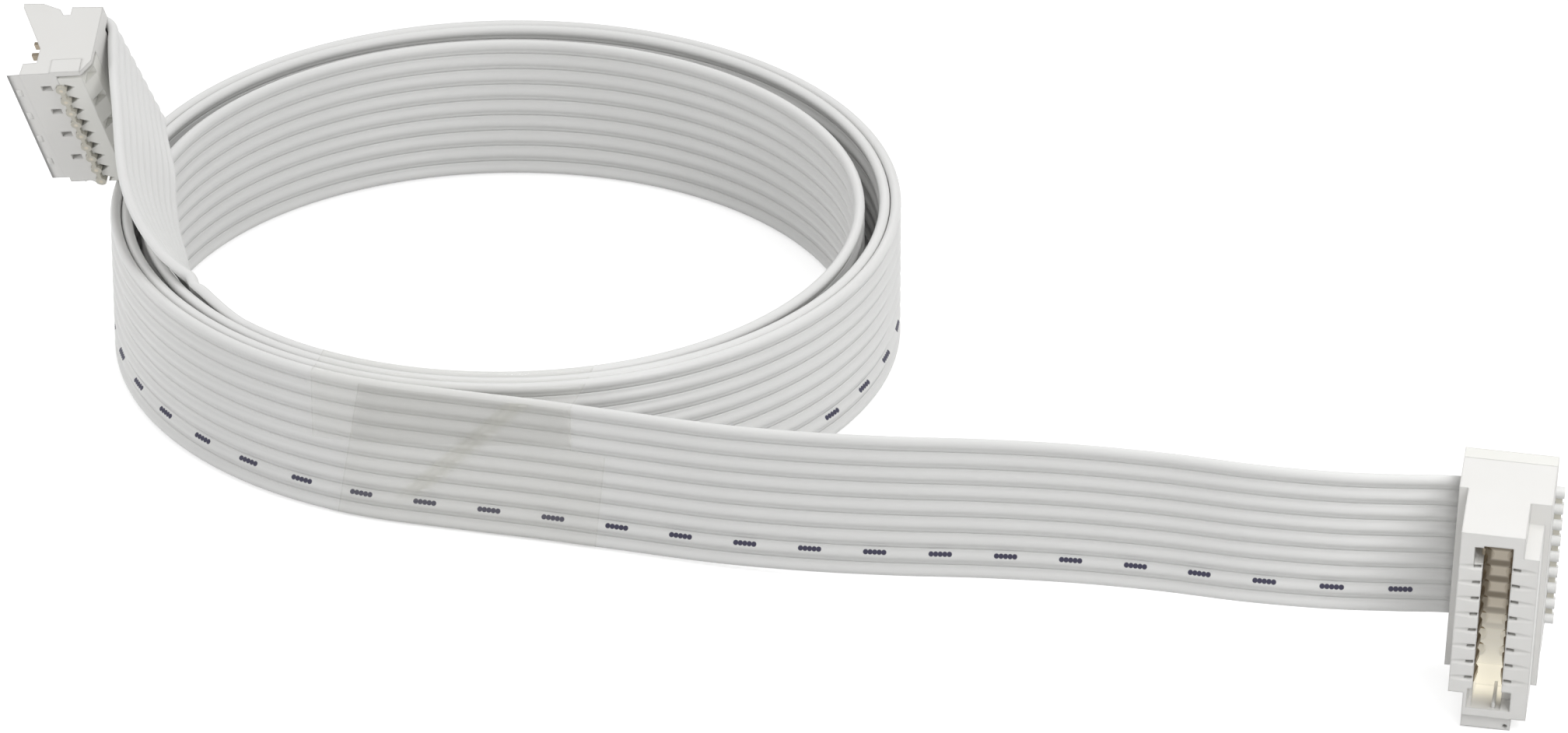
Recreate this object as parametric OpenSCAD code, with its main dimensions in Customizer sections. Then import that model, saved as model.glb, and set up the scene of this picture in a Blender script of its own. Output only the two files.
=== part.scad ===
// Flat ribbon wiring harness: a nine-way ribbon wound into a taped coil, with an
// edge-card connector on the outer end and an in-line connector on the inner end.
// All lengths in millimetres. +Z is up, the harness stands on z = 0.

/* [Cable] */
// number of conductors side by side
ways = 9; // [9]
// distance between neighbouring conductors
pitch = 1.27; // [1.27, 1.25]
// diameter of each insulated conductor
wire_diameter = 0.76; // [0.70:0.02:0.78]
// diameter of each copper conductor
core_diameter = 0.30; // [0.26:0.02:0.32]
// thickness of the web between conductors
web_thickness = 0.28; // [0.20:0.02:0.40]

/* [Coil] */
// radius of the outermost turn at the front, to the middle of the ribbon
coil_radius = 28.0; // [26:0.1:30]
// spacing of the turns where they are taped together
turn_step = 0.80; // [0.80:0.01:0.90]
// height of the ribbon's lower edge above the standing surface
ribbon_lift = 0.1; // [0.1:0.05:0.3]
// angle of the outer tail, clockwise from the X axis
tail_angle = 14; // [10:0.5:16]

/* [Edge connector] */
// turn of the connector, clockwise from the X axis
edge_angle = 8.2; // [8:0.1:9]
// overall height of the connector
edge_height = 15.5; // [15.5:0.1:16.2]
// depth from the card mouth to the back
edge_depth = 10.3; // [10.3:0.1:11]
// thickness of the wide back section
edge_thickness = 6.3; // [6.3:0.1:7]
// width of the slot for the card
card_slot = 1.95; // [1.8:0.05:2.0]
// depth of the slot for the card
card_depth = 4.6; // [4.4:0.1:4.8]
// height of the first conductor in the connector
edge_first_way = 13.5; // [13.5]

/* [Inline connector] */
// length of the housing along the row of conductors
inline_length = 12.4; // [12.4:0.1:13]
// thickness of the housing, along the conductors
inline_thickness = 6.6; // [6.6:0.1:7]
// radius of the ribbon's turn behind the housing
turn_back_radius = 1.67; // [1.65:0.01:1.7]

/* [Tape] */
// thickness of the binding tape
tape_thickness = 0.1; // [0.06:0.01:0.10]
// width of the tape that lies on the coil
tape_on_coil = 6.5; // [5:0.5:8]
// width of the tape that lies on the outer tail
tape_on_tail = 12.5; // [10:0.5:14]

/* [Hidden] */
$fn = 64;
eps = 0.01;
wire_r = wire_diameter / 2;
core_r = core_diameter / 2;
half_row = pitch * (ways - 1) / 2;
row_z = ribbon_lift + wire_r + half_row;
place = [-18.27, 14.03, 0];

// where the ribbon crosses the coil's front and back, one value a turn
front = [for (k = [0:3]) -(coil_radius - turn_step * k)];
back = [coil_radius - 0.2, coil_radius - 1.0, coil_radius - 3.4];
last_radius = 24.8;
last_angle = 238;

// edge connector, measured from the card mouth and the bottom face
wide_from = 5.4;
wire_depth = 9.1;
jaw_left = -2.55;
jaw_right = 2.75;
slot_mid = 0;
slot_top = 14.6;
slot_bottom = 1.9;
foot_right = 1.75;
edge_lean = 3.6;
edge_roll = 2.4;
stub_length = 0.6;
edge_at = [66.2, -54.9, foot_right * sin(edge_roll)];
arm_gap = 1.29;
arm_thick = 0.2;
blade_u = 0.2;
blade_thick = 0.25;
blade_half = 0.42;

// inline connector: corner and turn of the housing, and its row of conductors
inline_at = [-32.4, 2.8, 10.5];
inline_turn = [24, -9, -12];
inline_row = 3.6;
inline_exit = 4.5;
end_wall = 1.25;
row_slew = 0.064;
inline_first = inline_length - 1.7;
inline_mid = inline_first - half_row;

// route of the inner tail: middle of the ribbon, and the way its row points
inner_route = [
    [-21.1, -12.5, 6.2],
    [-21.8, -9.5, 7.9],
    [-23.8, -7.3, 10.6],
    [-25.2, -5.0, 13.5],
    [-25.7, -1.5, 16.5]
];
inner_row = [
    [-0.01, -0.26, 0.97],
    [-0.05, -0.62, 0.78],
    [-0.14, -0.81, 0.57],
    [-0.26, -0.75, 0.61],
    [-0.31, -0.54, 0.78]
];

// route of the outer tail, from the middle of the coil
outer_route = [
    [-1.8, -28.4, 5.56],
    [3.2, -29.65, 5.58],
    [9.0, -31.3, 5.6],
    [15.0, -33.1, 5.7],
    [21.0, -34.7, 6.0],
    [27.0, -36.2, 6.5],
    [33.0, -37.6, 7.1],
    [39.0, -39.3, 7.7],
    [45.0, -41.3, 8.2],
    [51.0, -43.7, 8.7],
    [56.5, -45.2, 9.0],
    [61.0, -45.7, 9.1]
];

cable_color = [0.92, 0.92, 0.90];
housing_color = [0.93, 0.93, 0.91];
cover_color = [0.91, 0.91, 0.88];
metal_color = [0.62, 0.58, 0.50];
copper_color = [0.80, 0.50, 0.30];
tape_color = [0.90, 0.90, 0.85];

// ---- placing ----

module at_coil() {
    translate(place) rotate([0, 0, -tail_angle]) children();
}

// the edge connector's own axes: x along the conductors, y into the slot, z up
module at_edge() {
    translate(place) translate(edge_at) rotate([edge_lean, edge_roll, -edge_angle]) children();
}

// the inline connector's own axes: x across, y along the conductors, z along the row
module at_inline() {
    translate(place) translate(inline_at) rotate(inline_turn) children();
}

// ---- ribbon ----

// cross-section of the ribbon: x across the thickness, y along the row
module ribbon_section(r, web) {
    for (k = [0:ways - 1])
        translate([0, pitch * k - half_row]) circle(r);
    translate([-web / 2, -half_row]) square([web, 2 * half_row]);
}

module ribbon_arc(radius, centre, from, sweep) {
    translate([0, centre, row_z]) rotate([0, 0, from]) rotate_extrude(angle = sweep)
        translate([radius, 0]) ribbon_section(wire_r, web_thickness);
}

module left_turn(f, b) {
    ribbon_arc((b - f) / 2, (b + f) / 2, 90, 180);
}

module right_turn(f, b) {
    ribbon_arc((b - f) / 2, (b + f) / 2, -90, 180);
}

module ribbon_turn(n) {
    color(cable_color) at_coil() {
        if (n == 1) left_turn(front[0], back[0]);
        if (n == 2) right_turn(front[1], back[0]);
        if (n == 3) left_turn(front[1], back[1]);
        if (n == 4) right_turn(front[2], back[1]);
        if (n == 5) left_turn(front[2], back[2]);
        if (n == 6) right_turn(front[3], back[2]);
        if (n == 7) ribbon_arc(last_radius, front[3] + last_radius, last_angle, 270 - last_angle);
    }
}

// outline of the ribbon for the swept tails, [across, along the row], one loop
side_angles = [30, 70, 110, 150];
near_side = [for (k = [0:ways - 1]) for (a = side_angles)
    [wire_r * sin(a), half_row - pitch * k + wire_r * cos(a)]];
far_side = [for (k = [ways - 1:-1:0]) for (a = side_angles)
    [-wire_r * sin(a), half_row - pitch * k - wire_r * cos(a)]];
outline = concat(near_side, far_side);

function unit(v) = v / norm(v);
function ring(p, t, u) = let (n = unit(cross(u, t)), w = unit(cross(t, n)))
    [for (q = outline) p + n * q[0] + w * q[1]];

module sweep(rings) {
    m = len(outline);
    n = len(rings);
    points = [for (r = rings) each r];
    sides = [for (i = [0:n - 2]) for (j = [0:m - 1])
        [i * m + j, i * m + (j + 1) % m, (i + 1) * m + (j + 1) % m, (i + 1) * m + j]];
    h = m / 2;
    e = (n - 1) * m;
    first = [for (j = [0:h - 2]) [m - 1 - j, m - 2 - j, j + 1, j]];
    last = [for (j = [0:h - 2]) [e + j, e + j + 1, e + m - 2 - j, e + m - 1 - j]];
    polyhedron(points, concat(first, sides, last), convexity = 10);
}

// the inline connector's three directions
ca = cos(inline_turn[0]);
sa = sin(inline_turn[0]);
cb = cos(inline_turn[1]);
sb = sin(inline_turn[1]);
cg = cos(inline_turn[2]);
sg = sin(inline_turn[2]);
ax_m = [cb * cg, cb * sg, -sb];
ax_t = [sa * sb * cg - ca * sg, sa * sb * sg + ca * cg, sa * cb];
ax_w = [ca * sb * cg + sa * sg, ca * sb * sg - sa * cg, ca * cb];

function spin(v) = [v[0] * cos(tail_angle) + v[1] * sin(tail_angle),
    -v[0] * sin(tail_angle) + v[1] * cos(tail_angle), v[2]];
function on_last(a) = spin([last_radius * cos(a),
    front[3] + last_radius + last_radius * sin(a), row_z]);
function blend(a, b, c, d, f) = 0.5 * (2 * b + (c - a) * f + (2 * a - 5 * b + 4 * c - d) * f * f
    + (3 * b - a - 3 * c + d) * f * f * f);

tail_exit = inline_at + ax_m * inline_row + ax_t * inline_exit + ax_w * inline_mid;
turn_centre = tail_exit + ax_m * turn_back_radius;
function on_turn(a) = turn_centre + ax_m * turn_back_radius * cos(a)
    + ax_t * turn_back_radius * sin(a);

knots = concat([on_last(last_angle + 12), on_last(last_angle)], inner_route,
    [on_turn(0), on_turn(0) + ax_t * 2]);
function turn_row(a) = unit(ax_w - ax_m * row_slew * (1 + cos(a)) / 2);
knot_rows = concat([[0, 0, 1], [0, 0, 1]], inner_row, [turn_row(0), turn_row(0)]);
sub_steps = 4;
curve = [for (i = [1:len(knots) - 3]) for (s = [0:sub_steps - 1])
    [blend(knots[i - 1], knots[i], knots[i + 1], knots[i + 2], s / sub_steps),
     unit(blend(knot_rows[i - 1], knot_rows[i], knot_rows[i + 1], knot_rows[i + 2],
         s / sub_steps))]];
turn_stops = [0, 30, 60, 90, 120, 150, 180];
tail_line = concat(curve, [for (a = turn_stops) [on_turn(a), turn_row(a)]]);
joint_way = spin([sin(last_angle), -cos(last_angle), 0]);
function heading(i) = i == 0 ? joint_way
    : i == len(tail_line) - 1 ? -ax_t
    : unit(tail_line[i + 1][0] - tail_line[i - 1][0]);

// the outer tail climbs gently, so that its connector can stand on the surface
outer_start = spin([0, front[0], row_z]);
function rot_x(v, a) = [v[0], v[1] * cos(a) - v[2] * sin(a), v[1] * sin(a) + v[2] * cos(a)];
function rot_y(v, a) = [v[0] * cos(a) + v[2] * sin(a), v[1], -v[0] * sin(a) + v[2] * cos(a)];
function rot_z(v, a) = [v[0] * cos(a) - v[1] * sin(a), v[0] * sin(a) + v[1] * cos(a), v[2]];
function edge_turned(v) = rot_z(rot_y(rot_x(v, edge_lean), edge_roll), -edge_angle);
edge_run = edge_turned([1, 0, 0]);
edge_row_way = edge_turned([0, 0, 1]);
edge_entry = edge_at + edge_turned([-edge_thickness / 2, wire_depth, edge_first_way - half_row]);
outer_knots = concat([outer_start - spin([8, 0, 0]), outer_start], outer_route,
    [edge_entry, edge_entry + edge_run * 6]);
outer_steps = 2;
outer_line = concat([for (i = [1:len(outer_knots) - 3]) for (s = [0:outer_steps - 1])
    blend(outer_knots[i - 1], outer_knots[i], outer_knots[i + 1], outer_knots[i + 2],
        s / outer_steps)], [edge_entry]);
function outer_lean(p) = let (f = max(0, min(1, (p[0] - 5) / 50)))
    unit(edge_row_way * f + [0, 0, 1] * (1 - f));
function outer_heading(i) = i == 0 ? spin([1, 0, 0])
    : i == len(outer_line) - 1 ? edge_run
    : unit(outer_line[i + 1] - outer_line[i - 1]);

module ribbon_outer_tail() {
    color(cable_color) translate(place)
        sweep([for (i = [0:len(outer_line) - 1])
            ring(outer_line[i], outer_heading(i), outer_lean(outer_line[i]))]);
}

module ribbon_inner_tail() {
    color(cable_color) translate(place)
        sweep([for (i = [0:len(tail_line) - 1])
            ring(tail_line[i][0], heading(i), tail_line[i][1])]);
}

// ---- binding tape ----

// plan of the taped bundle, grown by g, from x = a to x = b in coil axes
module bundle_plan(g, a, b) {
    outer_r = coil_radius + wire_r + 0.05 + g;
    right_r = (back[2] - front[3]) / 2;
    difference() {
        union() {
            intersection() {
                circle(outer_r);
                polygon([[a, -40], [0, -40], [0, -15], [a, -15]]);
            }
            polygon([[0, -outer_r], [b, -outer_r], [b, -15], [0, -15]]);
        }
        intersection() {
            translate([0, front[3] + right_r]) circle(right_r - wire_r - g);
            translate([0, front[3] + last_radius]) circle(last_radius - wire_r - g);
        }
    }
}

module binding_tape() {
    t = tape_thickness;
    color(tape_color) at_coil() difference() {
        linear_extrude(2 * (row_z - ribbon_lift) + ribbon_lift + t)
            bundle_plan(t + 0.01, -tape_on_coil, tape_on_tail);
        translate([0, 0, ribbon_lift - 0.01]) linear_extrude(2 * (row_z - ribbon_lift) + 0.02)
            bundle_plan(0.01, -tape_on_coil - 1, tape_on_tail + 1);
    }
}

// ---- edge-card connector ----

function way_z(k) = edge_first_way - pitch * k;

module edge_body() {
    // wide back section that carries the conductors
    translate([-edge_thickness / 2, wide_from, 1.2])
        cube([edge_thickness, wire_depth - wide_from, edge_height - 1.2]);
    // left jaw with the roof over the slot
    translate([jaw_left, 0, 2.8]) cube([1.7 - jaw_left, wide_from + eps, edge_height - 2.8]);
    // right jaw, lower than the roof
    translate([slot_mid, 0, 1.05]) cube([jaw_right - slot_mid, wide_from + eps, 12.85]);
    translate([slot_mid, 4.3, 1.05]) cube([edge_thickness / 2 - slot_mid, 2, edge_height - 1.05]);
    // foot block under the slot
    translate([-1.55, 0, 0]) cube([foot_right + 1.55, 7.0, 3.2]);
}

module edge_slot() {
    // mouth, with a small lead-in
    translate([slot_mid - card_slot / 2, -1, slot_bottom])
        cube([card_slot, card_depth + 1, slot_top - slot_bottom]);
    // open recess at the lower end, with a ramp that falls away inside
    translate([slot_mid - card_slot / 2 - 0.3, -1, slot_bottom - 0.25])
        cube([card_slot + 0.95, 2.4, 1.5]);
    translate([slot_mid - card_slot / 2, 0, slot_bottom - 0.25]) rotate([-14, 0, 0])
        cube([card_slot, card_depth, 1.6]);
    // square pocket beside the first way
    translate([slot_mid - card_slot / 2 - 0.6, -1, way_z(0) - 0.45]) cube([0.7, 2.2, 1.4]);
    // step across the front of the foot
    translate([-1.55 - 1, -1, -1]) cube([5.4, 1.2, 2.0]);
}

module edge_way(k) {
    z = way_z(k);
    s = slot_mid;
    // scalloped pockets for the two spring arms
    for (side = [-1, 1])
        translate([s + side * (card_slot / 2 + 0.05), 0.45, z]) rotate([-90, 0, 0])
            cylinder(r = 0.56, h = 6.2);
    // cavity for the contact's bridge and blade
    translate([s - 1.65, 4.9, z - 0.33]) cube([3.3, 1.6, 0.66]);
    translate([blade_u - 0.03, 6.2, z - blade_half - 0.01])
        cube([blade_thick + 0.06, 4.0, 2 * blade_half + 0.02]);
}

// notches between the ways, deepest beside the slot
module edge_notch(k) {
    z = way_z(k) - pitch / 2;
    for (side = [-1, 1]) {
        translate([slot_mid + side * (card_slot / 2), -0.02, z])
            rotate([0, side > 0 ? 90 : -90, 0]) rotate([7, 0, 0])
                cylinder(r = 0.24, h = 3.4, center = true);
        translate([slot_mid + side * (card_slot / 2 + 0.34), 0.1, z])
            cube([0.5, 0.9, 0.22], center = true);
    }
}

// ribbon through the connector, along x
module edge_row(r, web) {
    translate([-edge_thickness / 2 - 1, wire_depth, edge_first_way - half_row])
        rotate([90, 0, 90]) linear_extrude(edge_thickness + 2) ribbon_section(r, web);
}

// the lower right corner of the wide section is cut away
module edge_corner() {
    translate([jaw_right, wide_from - 0.1, 0]) cube([2, edge_depth, 1.95]);
}

module edge_housing() {
    color(housing_color) at_edge() difference() {
        edge_body();
        edge_slot();
        for (k = [0:ways - 1]) edge_way(k);
        for (k = [0:ways - 2]) edge_notch(k);
        edge_row(wire_r + 0.01, web_thickness + 0.02);
        edge_corner();
        // gate mark low on the foot
        translate([foot_right - 0.35, -1, 0.3]) rotate([-90, 0, 0]) cylinder(r = 0.16, h = 1.9);
        // keyway down the right-hand side and a shallow one on the left
        translate([edge_thickness / 2 - 0.35, wide_from + 0.9, 0]) cube([1, 0.7, 13.9]);
        translate([-edge_thickness / 2 - 0.7, wide_from + 1.6, 0]) cube([1, 0.7, 13.9]);
    }
    // ridge on the floor of the recess
    color(housing_color) at_edge() translate([slot_mid + 0.4, 0.4, slot_bottom - 1.3])
        cube([0.22, 2.6, 1.35]);
}

module edge_cover() {
    color(cover_color) at_edge() difference() {
        translate([-edge_thickness / 2, wire_depth, 1.2])
            cube([edge_thickness, edge_depth - wire_depth, edge_height - 1.2]);
        edge_corner();
        edge_row(wire_r + 0.01, web_thickness + 0.02);
        for (k = [0:ways - 1])
            translate([blade_u - 0.03, wire_depth - 1, way_z(k) - blade_half - 0.01])
                cube([blade_thick + 0.06, 1.9, 2 * blade_half + 0.02]);
        // two shallow press pockets on the back
        for (z = [4.2, 10.2])
            translate([-1.1, edge_depth - 0.3, z]) cube([2.2, 1, 2.6]);
    }
}

module edge_ribbon_end() {
    span = edge_thickness + stub_length;
    color(cable_color) at_edge() difference() {
        translate([-edge_thickness / 2, wire_depth, edge_first_way - half_row])
            rotate([90, 0, 90]) linear_extrude(span) difference() {
                ribbon_section(wire_r, web_thickness);
                for (k = [0:ways - 1])
                    translate([0, pitch * k - half_row]) circle(core_r);
            }
        for (k = [0:ways - 1])
            translate([blade_u, wire_depth - 1, way_z(k) - blade_half])
                cube([blade_thick, 2, 2 * blade_half]);
        // the web is slit between the cut ends
        for (k = [0:ways - 2])
            translate([edge_thickness / 2, wire_depth - 1, way_z(k) - pitch / 2 - 0.2])
                cube([stub_length + 1, 2, 0.4]);
    }
}

module edge_conductors() {
    color(copper_color) at_edge() for (k = [0:ways - 1])
        translate([-edge_thickness / 2, wire_depth, way_z(k)]) rotate([0, 90, 0])
            cylinder(r = core_r, h = edge_thickness + stub_length);
}

// stamped contact: two spring arms, a bridge and a forked blade
module edge_contact(k) {
    color(metal_color) at_edge() translate([0, 0, way_z(k)]) {
        for (side = [-1, 1]) translate([slot_mid, 0, 0]) mirror([side < 0 ? 1 : 0, 0, 0])
            translate([0, 0, -0.25]) linear_extrude(0.5)
                polygon([[arm_gap, 6.0], [arm_gap, 3.2], [0.76, 2.1], [0.92, 1.0],
                    [1.10, 1.05], [0.96, 2.1], [arm_gap + arm_thick, 3.1],
                    [arm_gap + arm_thick, 6.0]]);
        translate([slot_mid - arm_gap - arm_thick, 5.5, -0.25])
            cube([2 * (arm_gap + arm_thick), 0.5, 0.5]);
        difference() {
            translate([blade_u, 5.6, -blade_half + 0.02])
                cube([blade_thick, 4.3, 2 * blade_half - 0.04]);
            translate([blade_u - 1, 8.3, -core_r]) cube([3, 3, 2 * core_r]);
            translate([blade_u - 1, 5.2, 0.25]) cube([3, 1.05, 1]);
            translate([blade_u - 1, 5.2, -1.25]) cube([3, 1.05, 1]);
        }
    }
}

// ---- inline connector ----

function row_w(k) = inline_first - pitch * k;

// end view of the housing: x across, y along the conductors
module inline_profile() {
    polygon([[0, 0], [5.4, 0], [6.1, 1.05], [6.1, 5.95], [3.8, 6.05], [3.77, 5.35], [3.29, 5.35],
        [2.94, 5.9], [1.57, 6.5], [0.1, 6.6], [0.14, 6.2], [2.07, 2.36], [2.04, 1.05],
        [1.03, 1.03], [0.93, 0.05]]);
}

module inline_conductor_line(r, web, from, span) {
    translate([inline_row, from, inline_mid]) rotate([-90, 0, 0])
        linear_extrude(span) rotate([0, 0, 0]) ribbon_section(r, web);
}

module inline_housing() {
    color(housing_color) at_inline() difference() {
        union() {
            // end wall, then the body with a round back for the ribbon to turn over
            translate([0, 0, inline_length - end_wall]) linear_extrude(end_wall) inline_profile();
            linear_extrude(inline_length) {
                difference() {
                    inline_profile();
                    translate([inline_row - 0.4, inline_exit]) square(5);
                }
                intersection() {
                    translate([inline_row + turn_back_radius, inline_exit])
                        circle(turn_back_radius - wire_r - 0.06 - row_slew * half_row);
                    translate([inline_row, inline_exit - 0.5]) square([6.1 - inline_row, 3]);
                }
            }
            translate([3.2, 0, inline_length - 0.35]) cube([2.2, 1.2, 0.45]);
        }
        // stepped lower end
        translate([-1, -1, -1]) cube([2.25, 9, 1.9]);
        translate([-1, -1, -1]) cube([3.3, 9, 1.4]);
        // bed of the conductors
        inline_conductor_line(wire_r + 0.01, web_thickness + 0.02, -1, inline_exit + 3);
        // everything right of the row belongs to the cover
        translate([inline_row, -1, -1]) cube([5, 3.2, inline_length + 0.62]);
        for (k = [0:ways - 1]) inline_way(k);
        inline_windows();
        // half-round notch at the lower end
        translate([2.65, -1, 0]) rotate([-90, 0, 0]) cylinder(r = 0.45, h = 2.2);
    }
}

// cavity of one contact and its mating opening
module inline_way(k) {
    w = row_w(k);
    translate([2.05, 2.9, w - blade_half - 0.02])
        cube([3.2, 0.31, 2 * blade_half + 0.04]);
    translate([0.2, 2.7, w - 0.32]) cube([2.2, 1.6, 0.64]);
}

// windows over every second way, and the pads beside them
module inline_windows() {
    for (k = [0:2:ways - 3]) {
        translate([2.15, -0.5, row_w(k) - 0.18]) cube([0.75, 1.3, 0.5]);
        translate([0.22, -0.5, row_w(k) - 0.6]) cube([0.34, 0.68, 0.6]);
    }
}

module inline_cover() {
    color(cover_color) at_inline() difference() {
        translate([0, 0, 0.3]) linear_extrude(inline_length - 0.9) intersection() {
            inline_profile();
            translate([inline_row, 0]) square([5, 2.2]);
        }
        inline_conductor_line(wire_r + 0.01, web_thickness + 0.02, -1, inline_exit + 3);
        for (k = [0:2:ways - 3]) translate([5.45, -0.5, row_w(k) + 0.35]) cube([1.2, 1.6, 0.7]);
        // a slanted nick beside each cut end
        for (k = [0:ways - 1]) translate([inline_row, -0.3, row_w(k)]) rotate([-90, 0, 0])
            linear_extrude(1.1) polygon([[0.3, -0.42], [1.0, -0.1], [0.3, 0.35]]);
    }
}

module inline_ribbon_end() {
    color(cable_color) at_inline() difference() {
        translate([inline_row, -0.25, inline_mid]) rotate([-90, 0, 0])
            linear_extrude(inline_exit + 0.25) difference() {
                ribbon_section(wire_r, web_thickness);
                for (k = [0:ways - 1])
                    translate([0, pitch * k - half_row]) circle(core_r);
            }
        for (k = [0:ways - 1])
            translate([inline_row - 1, 2.93, row_w(k) - blade_half])
                cube([2, 0.25, 2 * blade_half]);
    }
}

module inline_conductors() {
    color(copper_color) at_inline() for (k = [0:ways - 1])
        translate([inline_row, -0.25, row_w(k)]) rotate([-90, 0, 0])
            cylinder(r = core_r, h = inline_exit + 0.25);
}

module inline_contact(k) {
    color(metal_color) at_inline() translate([0, 0, row_w(k)]) {
        difference() {
            translate([2.1, 2.93, -blade_half + 0.02])
                cube([2.9, 0.25, 2 * blade_half - 0.04]);
            translate([2.9, 2.0, -core_r]) cube([3, 3, 2 * core_r]);
        }
        translate([0.9, 2.93, -0.28]) cube([1.4, 0.25, 0.56]);
        translate([0.9, 3.93, -0.28]) cube([1.4, 0.25, 0.56]);
        translate([2.05, 2.93, -0.28]) cube([0.25, 1.25, 0.56]);
    }
}

ribbon_turn(1);  // ribbon_turn_1
ribbon_turn(2);  // ribbon_turn_2
ribbon_turn(3);  // ribbon_turn_3
ribbon_turn(4);  // ribbon_turn_4
ribbon_turn(5);  // ribbon_turn_5
ribbon_turn(6);  // ribbon_turn_6
ribbon_turn(7);  // ribbon_turn_7
ribbon_outer_tail();
ribbon_inner_tail();
binding_tape();
edge_housing();
edge_cover();
edge_ribbon_end();
edge_conductors();
edge_contact(0);  // edge_contact_1
edge_contact(1);  // edge_contact_2
edge_contact(2);  // edge_contact_3
edge_contact(3);  // edge_contact_4
edge_contact(4);  // edge_contact_5
edge_contact(5);  // edge_contact_6
edge_contact(6);  // edge_contact_7
edge_contact(7);  // edge_contact_8
edge_contact(8);  // edge_contact_9
inline_housing();
inline_cover();
inline_ribbon_end();
inline_conductors();
inline_contact(0);  // inline_contact_1
inline_contact(1);  // inline_contact_2
inline_contact(2);  // inline_contact_3
inline_contact(3);  // inline_contact_4
inline_contact(4);  // inline_contact_5
inline_contact(5);  // inline_contact_6
inline_contact(6);  // inline_contact_7
inline_contact(7);  // inline_contact_8
inline_contact(8);  // inline_contact_9
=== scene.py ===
"""Looks of a ribbon-cable wiring harness: nine moulded wires, binding tape and two connectors."""

import math

import bmesh
import bpy
from bpy.props import FloatProperty, FloatVectorProperty, IntProperty, PointerProperty
from mathutils import Matrix, Vector, noise


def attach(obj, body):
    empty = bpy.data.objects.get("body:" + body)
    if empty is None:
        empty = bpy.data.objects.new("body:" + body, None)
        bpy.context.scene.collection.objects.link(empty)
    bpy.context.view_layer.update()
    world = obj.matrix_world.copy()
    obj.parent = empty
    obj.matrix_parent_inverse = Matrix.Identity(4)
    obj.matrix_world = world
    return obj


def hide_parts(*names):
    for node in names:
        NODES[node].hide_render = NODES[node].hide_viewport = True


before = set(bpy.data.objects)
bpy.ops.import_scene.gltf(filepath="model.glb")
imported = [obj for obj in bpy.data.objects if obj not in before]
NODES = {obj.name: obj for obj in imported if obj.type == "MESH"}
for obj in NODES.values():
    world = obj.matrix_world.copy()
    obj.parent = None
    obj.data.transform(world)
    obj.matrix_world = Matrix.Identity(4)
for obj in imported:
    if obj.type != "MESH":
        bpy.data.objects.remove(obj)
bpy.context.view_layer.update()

bl_info = {
    "name": "Ribbon Wiring Harness",
    "version": (1, 0, 0),
    "blender": (4, 5, 0),
    "location": "View3D > Sidebar > Harness",
    "description": "Builds the wires, the tape and the finishes of a coiled ribbon harness",
    "category": "Object",
}

WAYS = 9

# ---- route of the ribbon, in metres ----

# middle of the coil on the standing surface, and the turn of the coil's own axes
COIL_AT = Vector((-0.01827, 0.01403, 0.0))
COIL_TURN = math.radians(-14)
# where each turn crosses the coil's front and back line
FRONT = (-0.0280, -0.0272, -0.0264, -0.0256)
BACK = (0.0278, 0.0270, 0.0246)
# height of the middle wire, and the innermost stretch: its radius and where it ends, in degrees
ROW_HEIGHT = 0.00556
LAST_RADIUS = 0.0248
LAST_ANGLE = 238

# outer tail, from the middle of the coil to the edge connector
OUTER_ROUTE = (
    (-0.0018, -0.0284, 0.00556),
    (0.0032, -0.02965, 0.00558),
    (0.0090, -0.0313, 0.0056),
    (0.0150, -0.0331, 0.0057),
    (0.0210, -0.0347, 0.0060),
    (0.0270, -0.0362, 0.0065),
    (0.0330, -0.0376, 0.0071),
    (0.0390, -0.0393, 0.0077),
    (0.0450, -0.0413, 0.0082),
    (0.0510, -0.0437, 0.0087),
    (0.0565, -0.0452, 0.0090),
    (0.0610, -0.0457, 0.0091),
)
# inner tail, with the way its row of wires points at each place
INNER_ROUTE = (
    (-0.0211, -0.0125, 0.0062),
    (-0.0218, -0.0095, 0.0079),
    (-0.0238, -0.0073, 0.0106),
    (-0.0252, -0.0050, 0.0135),
    (-0.0257, -0.0015, 0.0165),
)
INNER_ROW = (
    (-0.01, -0.26, 0.97),
    (-0.05, -0.62, 0.78),
    (-0.14, -0.81, 0.57),
    (-0.26, -0.75, 0.61),
    (-0.31, -0.54, 0.78),
)

# corner and turn of each connector, from the middle of the coil
EDGE_AT = Vector((0.0662, -0.0549, 0.0000733))
EDGE_TURN = (math.radians(3.6), math.radians(2.4), math.radians(-8.2))
EDGE_ENTRY = Vector((-0.00315, 0.0091, 0.00842))
EDGE_FIRST_WAY = 0.0135
WAY_PITCH = 0.00127
INLINE_AT = Vector((-0.0324, 0.0028, 0.0105))
INLINE_TURN = (math.radians(24), math.radians(-9), math.radians(-12))
INLINE_EXIT = Vector((0.0036, 0.0045, 0.00562))
# turn of the ribbon behind the inline connector, and how far its row of wires leans there
FOLD_RADIUS = 0.00167
ROW_SLEW = 0.064

# how the tails are smoothed: rings between two points of a route, the stretch before its
# first point and the stretch past its last one
OUTER_STEPS, INNER_STEPS = 5, 8
OUTER_RUN_UP, OUTER_RUN_OUT = 0.008, 0.006
INNER_RUN_UP, INNER_RUN_OUT = 12, 0.002
# the outer tail's row of wires starts to lean at this x, and leans fully this much further on
LEAN_FROM, LEAN_OVER = 0.005, 0.05

# ---- clear film, from the coil's middle line and the standing surface, in metres ----

# left and right end on each side of the bundle
FLAP_ENDS = (-0.00645, 0.0123)
INSIDE_ENDS = (-0.0063, 0.0124)
UNDER_ENDS = (-0.0055, 0.0132)
UNDER_TAPER = 0.001
# left and right end on the outside, each at the bottom and at the top
OUTSIDE_LEFT = (-0.0047, -0.0029)
OUTSIDE_RIGHT = (0.01395, 0.01505)
# above this height the outside layer ends under the flap
LAP_LEVEL, LAP_RIGHT = 0.0076, 0.01225
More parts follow.
